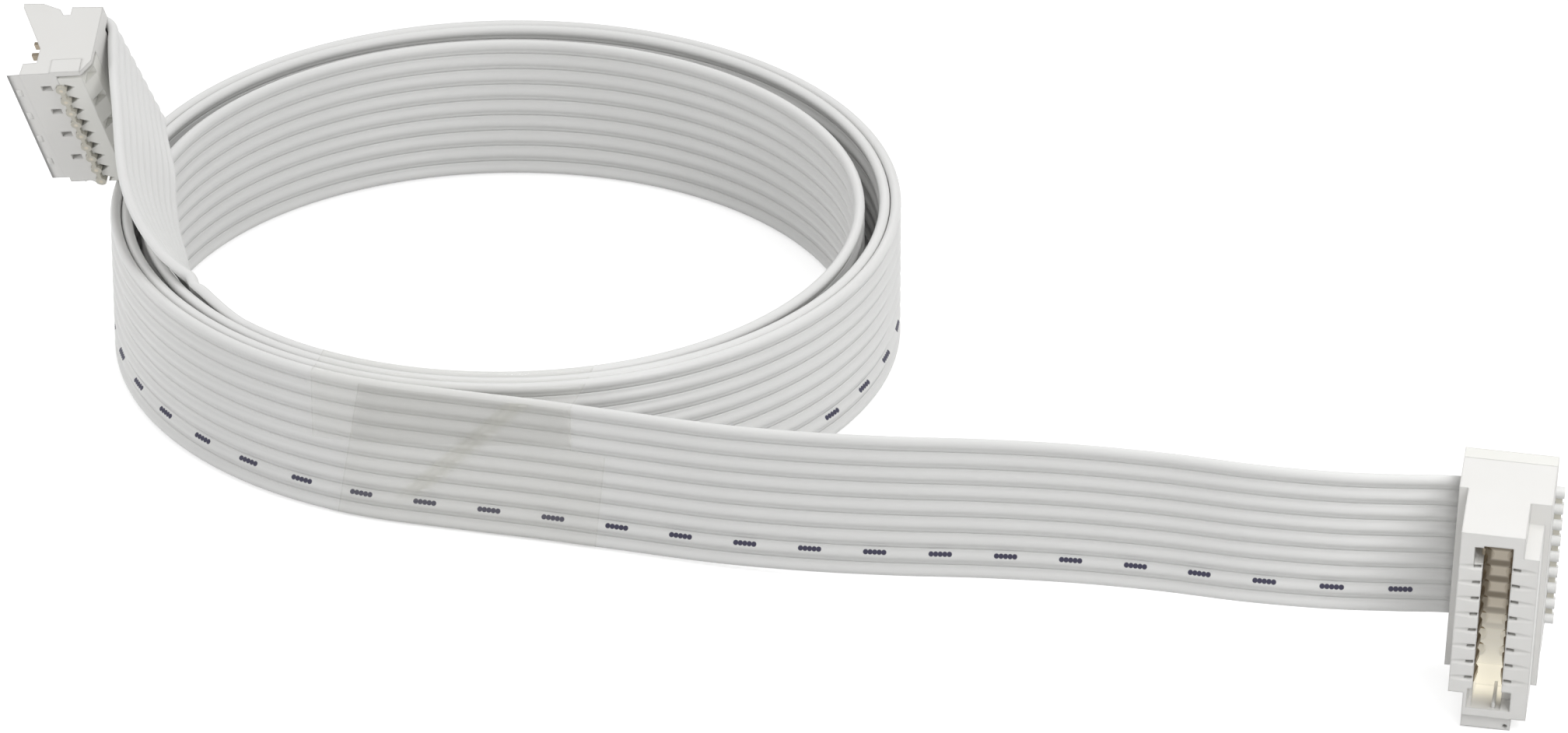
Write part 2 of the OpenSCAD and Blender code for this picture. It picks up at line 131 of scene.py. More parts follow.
# rows across the film: heights, or shares of the way across the bundle
FLAP_LEVELS = (0.0080, 0.0086, 0.0092, 0.0098, 0.0104, 0.0108, 0.0110)
TOP_SHARES = (0.06, 0.2, 0.35, 0.5, 0.65, 0.8, 0.94)
INSIDE_LEVELS = (0.0109, 0.0105, 0.0095, 0.0080, 0.0065, 0.0050, 0.0035, 0.0020, 0.0008, 0.00025)
UNDER_SHARES = (0.9, 0.6, 0.3, 0.06)
OUTSIDE_LEVELS = (0.0002, 0.0108)
OUTSIDE_ROWS, FILM_COLUMNS = 60, 64
# how far the film lies from the middle of the wires, on each side of the bundle
FLAP_GAP, OUTSIDE_GAP, INSIDE_GAP, RIM_GAP = 0.00056, 0.00045, 0.00047, 0.0003
FILM_TOP, FILM_BOTTOM = 0.01108, 0.00006
# dip between two wires, dip across a wide top and the width at which it is full
FILM_SAG, TOP_SLACK, SLACK_SPAN = 0.00005, 0.00035, 0.008
# depths of the coarse and the fine waves, and how many fit in a metre or in one share
COARSE_WAVE, FINE_WAVE, FINE_SHARE = 0.000035, 0.00002, 3.1
WAVES_ALONG, WAVES_UP, WAVES_ACROSS, FLAP_SHIFT = 350, 14000, 14, 2.45
# the flap's lower edge slants: its fall at the left end, over this height
FLAP_TOP, FLAP_FALL, FALL_OVER = 0.0110, 0.0021, 0.0030
# below this height the flap stands off, by this share of the distance
LIFT_FROM, LIFT_SHARE = 0.0083, 0.12
# slanted fold on the outside: its foot, its lean, its squareness and where it fades in
CREASE_FOOT = (0.0002, 0.0026)
CREASE_LEAN, CREASE_SQUARE = 0.95, 0.72
CREASE_FROM, CREASE_FADE = 0.0018, 0.0015
# haze of the fold, its core and its soft side: strength, place and width
CREASE_CORE, CREASE_SIDE = (0.4, 0.0, 0.0002), (0.5, 0.00055, 0.0004)
# shape of the fold, its ridge and the dent beside it: height, place and width
RIDGE, DENT = (0.0001, 0.0, 0.00022), (0.00005, 0.00075, 0.0005)
# how strongly the waves and the dips show on the top, the underside and the flap
TOP_WAVES, UNDER_WAVES, FLAP_DIPS = 1.6, 0.02, 0.5


def turn_matrix(angles):
    """Rotation about x, then y, then z."""
    x, y, z = angles
    return (Matrix.Rotation(z, 3, "Z") @ Matrix.Rotation(y, 3, "Y")
            @ Matrix.Rotation(x, 3, "X"))


EDGE_AXES = turn_matrix(EDGE_TURN)
INLINE_AXES = turn_matrix(INLINE_TURN)


def coil_turned(v):
    """A point in the coil's own axes, turned into the shared ones."""
    return Matrix.Rotation(COIL_TURN, 3, "Z") @ Vector(v)


def blended(a, b, c, d, f):
    """Smooth curve from b to c, with a and d as its neighbours."""
    return 0.5 * (2 * b + (c - a) * f + (2 * a - 5 * b + 4 * c - d) * f * f
                  + (3 * b - a - 3 * c + d) * f * f * f)


def smooth_line(knots, steps):
    """Points of the smooth curve through the knots, without the first and last knot."""
    return [blended(knots[i - 1], knots[i], knots[i + 1], knots[i + 2], s / steps)
            for i in range(1, len(knots) - 2) for s in range(steps)]


def half_turn(low, high, start, stop, step):
    """Points on a half circle that crosses the coil's middle line at low and high."""
    return turn_arc((low + high) / 2, (high - low) / 2, start, stop, step)


def turn_arc(middle, radius, start, stop, step):
    """Points on an arc about a place on the coil's middle line, without its last point."""
    count = max(2, math.ceil(radius * math.radians(abs(stop - start)) / step))
    angles = [math.radians(start + (stop - start) * i / count) for i in range(count)]
    return [coil_turned((radius * math.cos(a), middle + radius * math.sin(a), ROW_HEIGHT))
            for a in angles]


def outer_tail():
    """Points and row directions from the coil to the edge connector."""
    row = EDGE_AXES @ Vector((0, 0, 1))
    run = EDGE_AXES @ Vector((1, 0, 0))
    entry = EDGE_AT + EDGE_AXES @ EDGE_ENTRY
    start = coil_turned((0, FRONT[0], ROW_HEIGHT))
    knots = [start - coil_turned((OUTER_RUN_UP, 0, 0)), start]
    knots += [Vector(p) for p in OUTER_ROUTE] + [entry, entry + run * OUTER_RUN_OUT]
    points = smooth_line(knots, OUTER_STEPS) + [entry]
    rows = []
    for p in points:
        lean = max(0, min(1, (p.x - LEAN_FROM) / LEAN_OVER))
        rows.append((row * lean + Vector((0, 0, 1)) * (1 - lean)).normalized())
    return list(zip(points, rows))


def inner_tail():
    """Points and row directions from the last turn to the inline connector."""
    across, along, up = (INLINE_AXES.col[i].copy() for i in range(3))
    leave = INLINE_AT + INLINE_AXES @ INLINE_EXIT
    middle = leave + across * FOLD_RADIUS

    def on_fold(a):
        return middle + (across * math.cos(a) + along * math.sin(a)) * FOLD_RADIUS

    def fold_row(a):
        return (up - across * ROW_SLEW * (1 + math.cos(a)) / 2).normalized()

    def on_last(a):
        a = math.radians(a)
        return coil_turned((LAST_RADIUS * math.cos(a),
                            FRONT[3] + LAST_RADIUS * (1 + math.sin(a)), ROW_HEIGHT))

    upright = Vector((0, 0, 1))
    knots = [on_last(LAST_ANGLE + INNER_RUN_UP), on_last(LAST_ANGLE)]
    knots += [Vector(p) for p in INNER_ROUTE]
    knots += [on_fold(0), on_fold(0) + along * INNER_RUN_OUT]
    rows = [upright, upright] + [Vector(r) for r in INNER_ROW] + [fold_row(0), fold_row(0)]
    stations = [(place, row.normalized()) for place, row
                in zip(smooth_line(knots, INNER_STEPS), smooth_line(rows, INNER_STEPS))]
    for degrees in range(0, 181, 10):
        a = math.radians(degrees)
        stations.append((on_fold(a), fold_row(a)))
    return stations


def ribbon_line(step):
    """Stations of the whole ribbon: place, outward direction and row direction of each."""
    upright = Vector((0, 0, 1))
    coil = []
    for k, back in enumerate(BACK):
        coil += half_turn(FRONT[k], back, 270, 90, step)
        coil += half_turn(FRONT[k + 1], back, 90, -90, step)
    coil += turn_arc(FRONT[3] + LAST_RADIUS, LAST_RADIUS, 270, LAST_ANGLE, step)
    line = outer_tail()[:0:-1] + [(p, upright) for p in coil] + inner_tail()
    run_in = EDGE_AXES @ Vector((-1, 0, 0))
    run_out = -INLINE_AXES.col[1]
    stations = []
    for i, (place, row) in enumerate(line):
        if i == 0:
            heading = run_in
        elif i == len(line) - 1:
            heading = run_out
        else:
            heading = line[i + 1][0] - line[i - 1][0]
        heading = heading.normalized()
        outward = row.cross(heading).normalized()
        stations.append((COIL_AT + place, outward, heading.cross(outward).normalized()))
    return stations


# ---- meshes ----

def add_object(name, bm, material):
    """Object made from a finished mesh, at the origin and unturned."""
    mesh = bpy.data.meshes.new(name)
    bm.to_mesh(mesh)
    bm.free()
    mesh.materials.append(material)
    obj = bpy.data.objects.new(name, mesh)
    bpy.context.scene.collection.objects.link(obj)
    return obj


def laid_grid(name, rows, reach, closed, material):
    """Grid laid through rows of points, as a tube if closed, or else as an open film.
    Its map holds metres along the rows and the place across a row."""
    count = len(rows)
    across = len(rows[0]) if closed else len(rows[0]) - 1
    bm = bmesh.new()
    bmesh.ops.create_grid(bm, x_segments=across, y_segments=count - 1, size=1.0)
    spots = {v: (round((v.co.x + 1) / 2 * across), round((v.co.y + 1) / 2 * (count - 1)))
             for v in bm.verts}
    along = bm.loops.layers.uv.new("Along")
    for face in bm.faces:
        for loop in face.loops:
            j, i = spots[loop.vert]
            loop[along].uv = (reach[i], j / across)
    for v, (j, i) in spots.items():
        v.co = rows[i][j % len(rows[0])]
    bmesh.ops.remove_doubles(bm, verts=bm.verts, dist=1e-7)
    for face in bm.faces:
        face.smooth = True
    if closed:
        ends = [e for e in bm.edges if e.is_boundary]
        bmesh.ops.holes_fill(bm, edges=ends, sides=0)
        bmesh.ops.recalc_face_normals(bm, faces=bm.faces)
    return add_object(name, bm, material)


def small_blocks(name, corner, axes, centres, size, material, rounding=0.0):
    """Like blocks set out in a connector's own axes, with their edges rounded if asked."""
    bm = bmesh.new()
    for centre in centres:
        place = Matrix.Translation(COIL_AT + corner + axes @ Vector(centre))
        matrix = place @ axes.to_4x4() @ Matrix.Diagonal((*size, 1.0))
        made = bmesh.ops.create_cube(bm, size=1.0, matrix=matrix)
        if rounding:
            edges = list({e for v in made["verts"] for e in v.link_edges})
            bmesh.ops.bevel(bm, geom=edges, offset=rounding, offset_type="OFFSET", segments=3,
                            profile=0.5, affect="EDGES", material=-1)
    for face in bm.faces:
        face.smooth = rounding > 0
    return add_object(name, bm, material)


# the web thickens towards the wire: shares of its thickness and of half the pitch
WEB_ROOT = ((1.0, 1.0), (1.06, 0.74), (1.34, 0.58))


def wire_section(number, sizes):
    """Outline of one wire with its half of the web on each side: outward, along the row."""
    r, web, half = sizes.wire_diameter / 2, sizes.web_thickness / 2, sizes.pitch / 2

    def on_wire(angles):
        return [(r * math.cos(math.radians(a)), r * math.sin(math.radians(a))) for a in angles]

    side = [(web * thicker, half * nearer) for thicker, nearer in WEB_ROOT]
    round_part = on_wire(range(48, -49, -16))
    free_end = on_wire((90, 76, 62))
    top = free_end if number == 1 else side
    bottom = [(n, -w) for n, w in reversed(free_end if number == WAYS else side)]
    face = top + round_part + bottom
    back = [(-n, w) for n, w in reversed(face)]
    return face + [p for p in back if p not in face]


def arc_lengths(points):
    """Distance of each point from the first one, along the line."""
    total, out = 0.0, [0.0]
    for a, b in zip(points, points[1:]):
        total += (b - a).length
        out.append(total)
    return out


def outer_side(x, tail):
    """The coil's own y of the outermost layer at its front, beside x. The tail is the outer
    tail's line in the coil's own axes."""
    if x < 0:
        radius, middle = (BACK[0] - FRONT[0]) / 2, (BACK[0] + FRONT[0]) / 2
        return middle - math.sqrt(radius ** 2 - x ** 2)
    for a, b in zip(tail, tail[1:]):
        if a.x <= x <= b.x:
            return a.y + (b.y - a.y) * (x - a.x) / (b.x - a.x)
    return FRONT[0]


def inner_side(x):
    """The coil's own y of the innermost layer at its front, beside x."""
    radius = LAST_RADIUS if x < 0 else (BACK[2] - FRONT[3]) / 2
    return FRONT[3] + radius - math.sqrt(radius ** 2 - x ** 2)


def bell(offset, height, place, width):
    """Smooth bump of a height about a place."""
    return height * math.exp(-((offset - place) / width) ** 2)


def film_wrap():
    """Rows that cross the film, from its loose flap on the outside, over the top, down the
    inside, under the bundle and up the outside again. Each row has its side of the bundle,
    its height or its share of the way across, and its left and right end."""
    wrap = [("flap", level, *FLAP_ENDS) for level in FLAP_LEVELS]
    wrap += [("top", share, *FLAP_ENDS) for share in TOP_SHARES]
    wrap += [("inside", level, *INSIDE_ENDS) for level in INSIDE_LEVELS]
    left, right = UNDER_ENDS
    wrap += [("under", share, left + UNDER_TAPER * share, right - UNDER_TAPER * share)
             for share in UNDER_SHARES]
    for i in range(OUTSIDE_ROWS + 1):
        level, left, right = (low + (high - low) * i / OUTSIDE_ROWS for low, high
                              in (OUTSIDE_LEVELS, OUTSIDE_LEFT, OUTSIDE_RIGHT))
        wrap.append(("outside", level, left, right if level < LAP_LEVEL else LAP_RIGHT))
    return wrap


def crease_offset(level, x):
    """Distance of a point on the outside from the middle of the slanted fold."""
    return (x - CREASE_FOOT[0] - (level - CREASE_FOOT[1]) * CREASE_LEAN) * CREASE_SQUARE


def crease_fade(level):
    """The slanted fold fades in from its foot: 0 below it, 1 well above it."""
    return max(0.0, min(1.0, (level - CREASE_FROM) / CREASE_FADE))


def crease_share(side, level, x):
    """How strongly the slanted fold shows at a point of the film, from 0 to 1."""
    if side != "outside":
        return 0.0
    off = crease_offset(level, x)
    return (bell(off, *CREASE_CORE) + bell(off, *CREASE_SIDE)) * crease_fade(level)


def film_point(side, level, x, pitch, tail):
    """One point of the film in the coil's own axes. On the top and the underside the level is
    a share of the way across the bundle."""
    near, far = outer_side(x, tail), inner_side(x)
    across = side in ("top", "under")
    spot = Vector((x * WAVES_ALONG, level * (WAVES_ACROSS if across else WAVES_UP),
                   FLAP_SHIFT if side == "flap" else 0.0))
    wave = COARSE_WAVE * noise.noise(spot) + FINE_WAVE * noise.noise(spot * FINE_SHARE)
    if across:
        y = near - RIM_GAP + (far - near + 2 * RIM_GAP) * level
        slack = TOP_SLACK * math.sin(level * math.pi) * min(1.0, (far - near) / SLACK_SPAN)
        if side == "top":
            return Vector((x, y, FILM_TOP - slack + TOP_WAVES * wave))
        return Vector((x, y, FILM_BOTTOM + UNDER_WAVES * abs(wave)))
    if side == "inside":
        return Vector((x, far + INSIDE_GAP + wave, level))
    sag = FILM_SAG * (1 - math.cos((level - ROW_HEIGHT) / pitch * 2 * math.pi)) / 2
    if side == "flap":
        loose = max(0.0, LIFT_FROM - level) * LIFT_SHARE
        from_right = (FLAP_ENDS[1] - x) / (FLAP_ENDS[1] - FLAP_ENDS[0])
        fall = from_right * max(0.0, (FLAP_TOP - level) / FALL_OVER) * FLAP_FALL
        return Vector((x, near - FLAP_GAP + sag * FLAP_DIPS - wave - loose, level - fall))
    # the fold stands up in a ridge, with a dent beside it
    off = crease_offset(level, x)
    ridge = bell(off, *RIDGE) * crease_fade(level)
    return Vector((x, near - OUTSIDE_GAP + sag - wave - ridge + bell(off, *DENT), level))


# ---- shared effects ----

# where an ink dot fades, in shares of its radius
INK_EDGE = (0.8, 1.15)
# where the painted shade of the bars between the slot's pockets fades, on a wave from -1 to 1
BAR_EDGE = (-0.9, 0.2)
# where the film's cut edge begins and is full, in shares of its width from its middle
FILM_RIM = (0.490, 0.499)


def add_node(tree, kind, at, **values):
    """Node of a kind at a place in the tree, with its own settings."""
    node = tree.nodes.new(kind)
    node.location = at
    for key, value in values.items():
        setattr(node, key, value)
    return node


def feed(tree, node, **given):
    """Sets a node's inputs by name, from other nodes' outputs or from plain values."""
    for name, value in given.items():
        socket = node.inputs[name.replace("_", " ")]
        if isinstance(value, bpy.types.NodeSocket):
            tree.links.new(value, socket)
        else:
            socket.default_value = value


def math_node(tree, operation, at, a, b=None):
    """Result of a sum whose inputs are outputs of other nodes or plain numbers."""
    node = add_node(tree, "ShaderNodeMath", at, operation=operation)
    for socket, value in zip(node.inputs, (a, b)):
        if isinstance(value, bpy.types.NodeSocket):
            tree.links.new(value, socket)
        elif value is not None:
            socket.default_value = value
    return node.outputs[0]


def smooth_step(tree, at, value, low, high, start=0.0, stop=1.0):
    """Changes smoothly from start to stop while the value goes from low to high."""
    node = add_node(tree, "ShaderNodeMapRange", at, interpolation_type="SMOOTHSTEP")
    feed(tree, node, Value=value, From_Min=low, From_Max=high, To_Min=start, To_Max=stop)
    return node.outputs["Result"]


def mixed_color(tree, at, share, a, b):
    """Colour between a and b."""
    node = add_node(tree, "ShaderNodeMix", at, data_type="RGBA")
    feed(tree, node, Factor=share, A=a, B=b)
    return node.outputs["Result"]


def new_group(name, inputs, outputs):
    """Empty node group with its named inputs and outputs. Returns it, its start and its end."""
    group = bpy.data.node_groups.new(name, "ShaderNodeTree")
    face = group.interface
    face.new_socket("Vector", in_out="INPUT", socket_type="NodeSocketVector")
    for label, default in inputs.items():
        kind = "NodeSocketColor" if isinstance(default, tuple) else "NodeSocketFloat"
        face.new_socket(label, in_out="INPUT", socket_type=kind).default_value = default
    for label, kind in outputs.items():
        face.new_socket(label, in_out="OUTPUT", socket_type=kind)
    return (group, add_node(group, "NodeGroupInput", (-900, 0)).outputs,
            add_node(group, "NodeGroupOutput", (700, 0)))


def moulded_surface_group():
    """Cloudy colour, changing gloss and fine unevenness of moulded or extruded plastic."""
    group, given, end = new_group(
        "Moulded Surface",
        {"Color": (0.8, 0.8, 0.8, 1), "Deep Color": (0.7, 0.7, 0.7, 1), "Cloud Scale": 150.0,
         "Grain Scale": 3000.0, "Roughness": 0.4, "Roughness Change": 0.1},
        {"Color": "NodeSocketColor", "Roughness": "NodeSocketFloat",
         "Height": "NodeSocketFloat"})
    cloud = add_node(group, "ShaderNodeTexNoise", (-450, 150))
    feed(group, cloud, Vector=given["Vector"], Scale=given["Cloud Scale"], Detail=3)
    grain = add_node(group, "ShaderNodeTexNoise", (-450, -150))
    feed(group, grain, Vector=given["Vector"], Scale=given["Grain Scale"], Detail=2)
    shade = cloud.outputs["Fac"]
    lift = math_node(group, "SUBTRACT", (-150, 0), shade, 0.5)
    swing = math_node(group, "MULTIPLY", (50, 0), lift, given["Roughness Change"])
    feed(group, end,
         Color=mixed_color(group, (-150, 200), shade, given["Color"], given["Deep Color"]),
         Roughness=math_node(group, "ADD", (250, 0), swing, given["Roughness"]),
         Height=grain.outputs["Fac"])
    return group


def surface_material(name, color, deep, roughness, change=0.1, cloud=150.0, grain=3000.0,
                     bump=0.02, bump_depth=0.00002, soft_edge=0.0, **shader):
    """Plastic or metal finish made with the shared group. The deep colour is the colour times
    one share, or a share for each of red, green and blue. Returns the material."""
    mat = bpy.data.materials.new(name)
    mat.use_nodes = True
    tree = mat.node_tree
    place = add_node(tree, "ShaderNodeTexCoord", (-900, 0))
    group = add_node(tree, "ShaderNodeGroup", (-600, 0))
    group.node_tree = bpy.data.node_groups.get("Moulded Surface") or moulded_surface_group()
    group.name = "Surface"
    shares = deep if isinstance(deep, tuple) else (deep,) * 3
    feed(tree, group, Vector=place.outputs["Object"], Color=(*color, 1),
         Deep_Color=(*(c * f for c, f in zip(color, shares)), 1),
         Cloud_Scale=cloud, Grain_Scale=grain, Roughness=roughness, Roughness_Change=change)
    relief = add_node(tree, "ShaderNodeBump", (-250, -250))
    feed(tree, relief, Strength=bump, Distance=bump_depth, Height=group.outputs["Height"])
    if soft_edge:
        rounded = add_node(tree, "ShaderNodeBevel", (-450, -400), samples=4)
        feed(tree, rounded, Radius=soft_edge)
        feed(tree, relief, Normal=rounded.outputs["Normal"])
    feed(tree, tree.nodes["Principled BSDF"], Base_Color=group.outputs["Color"],
         Roughness=group.outputs["Roughness"], Normal=relief.outputs["Normal"], **shader)
    return mat


def map_place(tree):
    """The two values of the piece's own map: metres along it, and the place across it."""
    uv = add_node(tree, "ShaderNodeUVMap", (-1500, 500), uv_map="Along")
    split = add_node(tree, "ShaderNodeSeparateXYZ", (-1300, 500))
    feed(tree, split, Vector=uv.outputs["UV"])
    return split.outputs["X"], split.outputs["Y"]


def printed_vinyl(base, settings):
    """Copy of the vinyl with a row of ink dashes, each of a few dots that run together."""
    mat = base.copy()
    mat.name = "printed_vinyl"
    tree = mat.node_tree
    along, around = map_place(tree)
    shifted = math_node(tree, "SUBTRACT", (-1150, 600), along,
                        settings.print_start - settings.print_pitch / 2)
    within = math_node(tree, "FLOORED_MODULO", (-1000, 600), shifted, settings.print_pitch)
    centred = math_node(tree, "SUBTRACT", (-850, 600), within, settings.print_pitch / 2)
    counted = math_node(tree, "DIVIDE", (-700, 700), centred, settings.dot_spacing)
    nearest = math_node(tree, "ROUND", (-550, 700), counted)
    last_dot = (settings.dots - 1) / 2
    low = math_node(tree, "MAXIMUM", (-400, 700), nearest, -last_dot)
    capped = math_node(tree, "MINIMUM", (-250, 700), low, last_dot)
    dot_at = math_node(tree, "MULTIPLY", (-100, 700), capped, settings.dot_spacing)
    run = math_node(tree, "SUBTRACT", (50, 600), centred, dot_at)
    aside = math_node(tree, "SUBTRACT", (-700, 400), around, settings.print_side)
    rise = math_node(tree, "MULTIPLY", (-550, 400), aside, settings.ring_length)
    square = math_node(tree, "ADD", (350, 500), math_node(tree, "MULTIPLY", (200, 600), run, run),
                       math_node(tree, "MULTIPLY", (-400, 400), rise, rise))
    far = math_node(tree, "SQRT", (500, 500), square)
    inner, outer = (settings.dot_radius * share for share in INK_EDGE)
    edge = smooth_step(tree, (650, 500), far, inner, outer, 1.0, 0.0)
    ink = mixed_color(tree, (-100, 250), edge, tree.nodes["Surface"].outputs["Color"],
                      (*settings.ink_color, 1))
    feed(tree, tree.nodes["Principled BSDF"], Base_Color=ink)
    return mat


def recess_group():
    """Masks of the card slot for its painted shade, painted light and painted glow, from a point
    in the edge connector's own axes: how deep it lies, the pockets of the ways, and how near it
    is to the slot's low end."""
    number = "NodeSocketFloat"
    group, given, end = new_group(
        "Slot Depth",
        {"Half Width": 0.00115, "Top": 0.01462, "From": 0.0006, "To": 0.0042,
         "First Way": EDGE_FIRST_WAY, "Pitch": WAY_PITCH, "Shallow From": 0.0036,
         "Shallow To": 0.0062, "Shallow Share": 0.7, "Low From": 0.0035, "Low To": 0.0075},
        {"Depth": number, "Bands": number, "Low End": number})
    split = add_node(group, "ShaderNodeSeparateXYZ", (-700, 0))
    feed(group, split, Vector=given["Vector"])
    x, y, z = split.outputs
    aside = math_node(group, "ABSOLUTE", (-500, 200), x)
    within = math_node(group, "LESS_THAN", (-300, 200), aside, given["Half Width"])
    below = math_node(group, "LESS_THAN", (-300, 50), z, given["Top"])
    inside = math_node(group, "MULTIPLY", (-100, 150), within, below)
    deep = smooth_step(group, (-300, -100), y, given["From"], given["To"])
    ramp = smooth_step(group, (-300, -350), z, given["Shallow From"], given["Shallow To"],
                       given["Shallow Share"])
    depth = math_node(group, "MULTIPLY", (100, 50), inside, deep)
    offset = math_node(group, "SUBTRACT", (-500, -600), z, given["First Way"])
    turns = math_node(group, "DIVIDE", (-300, -600), offset, given["Pitch"])
    angle = math_node(group, "MULTIPLY", (-100, -600), turns, 2 * math.pi)
    feed(group, end, Depth=math_node(group, "MULTIPLY", (300, 0), depth, ramp),
         Bands=math_node(group, "COSINE", (100, -600), angle),
         Low_End=smooth_step(group, (-300, -850), z, given["Low From"], given["Low To"],
                             1.0, 0.0))
    return group


def paint_slot_shade_and_glow(mat, colors):
    """Paints shade into the depths of the card slot, darkest on the bars between the pockets,
    with painted light towards its low end and a painted glow that stands in for light coming
    through the thin milky walls.
    """
    tree = mat.node_tree
    place = add_node(tree, "ShaderNodeTexCoord", (-1500, 600))
    turn = add_node(tree, "ShaderNodeMapping", (-1300, 600), vector_type="TEXTURE")
    feed(tree, turn, Vector=place.outputs["Object"], Location=COIL_AT + EDGE_AT,
         Rotation=EDGE_TURN)
    group = add_node(tree, "ShaderNodeGroup", (-1050, 600))
    group.node_tree = recess_group()
    feed(tree, group, Vector=turn.outputs["Vector"])
    masks = group.outputs
    bands = smooth_step(tree, (-800, 700), masks["Bands"], *BAR_EDGE)
    pockets = mixed_color(tree, (-500, 700), bands, (*colors.slot_bar_painted_shade, 1),
                          (*colors.slot_pocket_painted_shade, 1))
    painted_shade_and_glow = mixed_color(tree, (-380, 700), masks["Low End"], pockets, (*colors.slot_low_painted_light, 1))
    own = tree.nodes["Surface"].outputs["Color"]
    # painted shade and painted light go into the base colour, and the same colours glow as
    # emission, deeper in the slot
    feed(tree, tree.nodes["Principled BSDF"],
         Base_Color=mixed_color(tree, (-250, 500), masks["Depth"], own, painted_shade_and_glow),
         Emission_Color=mixed_color(tree, (-250, 850), masks["Depth"], (0, 0, 0, 1), painted_shade_and_glow),
         Emission_Strength=colors.slot_painted_glow)


def clear_film(settings):
    """Clear tape: a thin veil with cloudy gloss, stronger at its cut edges and its fold."""
    mat = surface_material("clear_film", settings.color, 0.93, 0.16, change=0.22, cloud=420.0,
                           grain=1500.0, bump=0.12, bump_depth=0.00003, IOR=1.48,
                           Coat_Weight=0.3, Coat_Roughness=0.08)
    tree = mat.node_tree
    _, across = map_place(tree)
    centre = math_node(tree, "SUBTRACT", (-1100, 500), across, 0.5)
    side = math_node(tree, "ABSOLUTE", (-950, 500), centre)
    line = smooth_step(tree, (-800, 500), side, *FILM_RIM, settings.cover,
                       min(1.0, settings.cover * 2))
    fold = add_node(tree, "ShaderNodeAttribute", (-800, 250), attribute_name="Fold")
    haze = math_node(tree, "MULTIPLY", (-600, 250), fold.outputs["Fac"], settings.fold_haze)
    feed(tree, tree.nodes["Principled BSDF"],
         Alpha=math_node(tree, "ADD", (-400, 350), haze, line))
    return mat


def dress(node, material):
    """Gives a CAD piece its finish."""
    mesh = NODES[node].data
    mesh.materials.clear()
    mesh.materials.append(material)


# ---- settings ----

class RibbonSettings(bpy.types.PropertyGroup):
    wire_diameter: FloatProperty(name="Wire diameter", description="Across the insulation",
                                 default=0.00076, min=0.0004, unit="LENGTH", precision=5)
    pitch: FloatProperty(name="Pitch", description="Between neighbouring wires",
                         default=0.00127, unit="LENGTH", precision=5)
    web_thickness: FloatProperty(name="Web thickness", description="Of the vinyl between wires",
                                 default=0.00028, unit="LENGTH", precision=5)
    ring_step: FloatProperty(name="Ring step", description="Longest stretch between two rings",
                             default=0.0013, min=0.0005, unit="LENGTH", precision=5)
    color: FloatVectorProperty(name="Vinyl", description="Colour of the insulation",
                               default=(0.77, 0.77, 0.76), subtype="COLOR", size=3)
    ink_color: FloatVectorProperty(name="Ink", description="Colour of the printed dashes",
                                   default=(0.05, 0.047, 0.085), subtype="COLOR", size=3)
    print_wire: IntProperty(name="Printed wire", description="Wire that carries the dashes",
                            default=8, min=1, max=WAYS)
    print_start: FloatProperty(name="First dash", description="From the edge connector",
                               default=0.0035, unit="LENGTH", precision=5)
    print_pitch: FloatProperty(name="Dash pitch", description="Between two dashes",
                               default=0.00459, unit="LENGTH", precision=5)
    print_side: FloatProperty(name="Dash side", description="Place of the dashes in the outline",
                              default=0.125, min=0, max=1)
    ring_length: FloatProperty(name="Ring length", description="Length of the outline",
                               default=0.00276, unit="LENGTH", precision=5)
    dots: IntProperty(name="Dots", description="In one dash", default=5, min=1)
    dot_spacing: FloatProperty(name="Dot spacing", description="Between dots in a dash",
                               default=0.00032, unit="LENGTH", precision=5)
    dot_radius: FloatProperty(name="Dot radius", description="Of one ink dot",
                              default=0.00019, unit="LENGTH", precision=5)


class TapeSettings(bpy.types.PropertyGroup):
    color: FloatVectorProperty(name="Film", description="Colour of the clear film",
                               default=(0.80, 0.79, 0.70), subtype="COLOR", size=3)
    cover: FloatProperty(name="Cover", description="How much the film hides", default=0.04,
                         min=0, max=1, subtype="FACTOR")
    fold_haze: FloatProperty(name="Fold haze", description="How milky the slanted fold is",
                             default=0.30, min=0, max=1, subtype="FACTOR")
    thickness: FloatProperty(name="Thickness", description="Of one layer of film",
                             default=0.00005, unit="LENGTH", precision=6)


class ConnectorSettings(bpy.types.PropertyGroup):
    housing: FloatVectorProperty(name="Housing", description="Colour of the housings",
                                 default=(0.75, 0.745, 0.73), subtype="COLOR", size=3)
    cover: FloatVectorProperty(name="Cover", description="Colour of the pressed-on covers",
                               default=(0.78, 0.78, 0.75), subtype="COLOR", size=3)
    contact: FloatVectorProperty(name="Contact", description="Colour of the spring contacts",
                                 default=(0.42, 0.36, 0.28), subtype="COLOR", size=3)
    # painted shade: colours deep in the card slot, darkest on the bars between the pockets
    slot_pocket_painted_shade: FloatVectorProperty(name="Slot pocket", description="Deep in the card slot",
                                     default=(0.52, 0.47, 0.39), subtype="COLOR", size=3)
    slot_bar_painted_shade: FloatVectorProperty(name="Slot bar", description="Between two slot pockets",
                                  default=(0.20, 0.17, 0.13), subtype="COLOR", size=3)
    # painted light: a lighter colour towards the card slot's low end
    slot_low_painted_light: FloatVectorProperty(name="Slot end", description="Low end of the card slot",
                                  default=(0.86, 0.83, 0.74), subtype="COLOR", size=3)
    # painted glow: emission in the card slot that stands in for light through its thin walls
    slot_painted_glow: FloatProperty(name="Slot glow", description="Light through the slot's walls",
                             default=0.5, min=0)
    # darker than the vinyl; on the webs between the stubs it is painted shade
    cut_end_and_painted_shade: FloatVectorProperty(name="Cut end", description="Colour of the cut insulation",
                                 default=(0.58, 0.56, 0.49), subtype="COLOR", size=3)
    conductor: FloatVectorProperty(name="Conductor", description="Colour of the tinned strands",
                                   default=(0.66, 0.60, 0.50), subtype="COLOR", size=3)


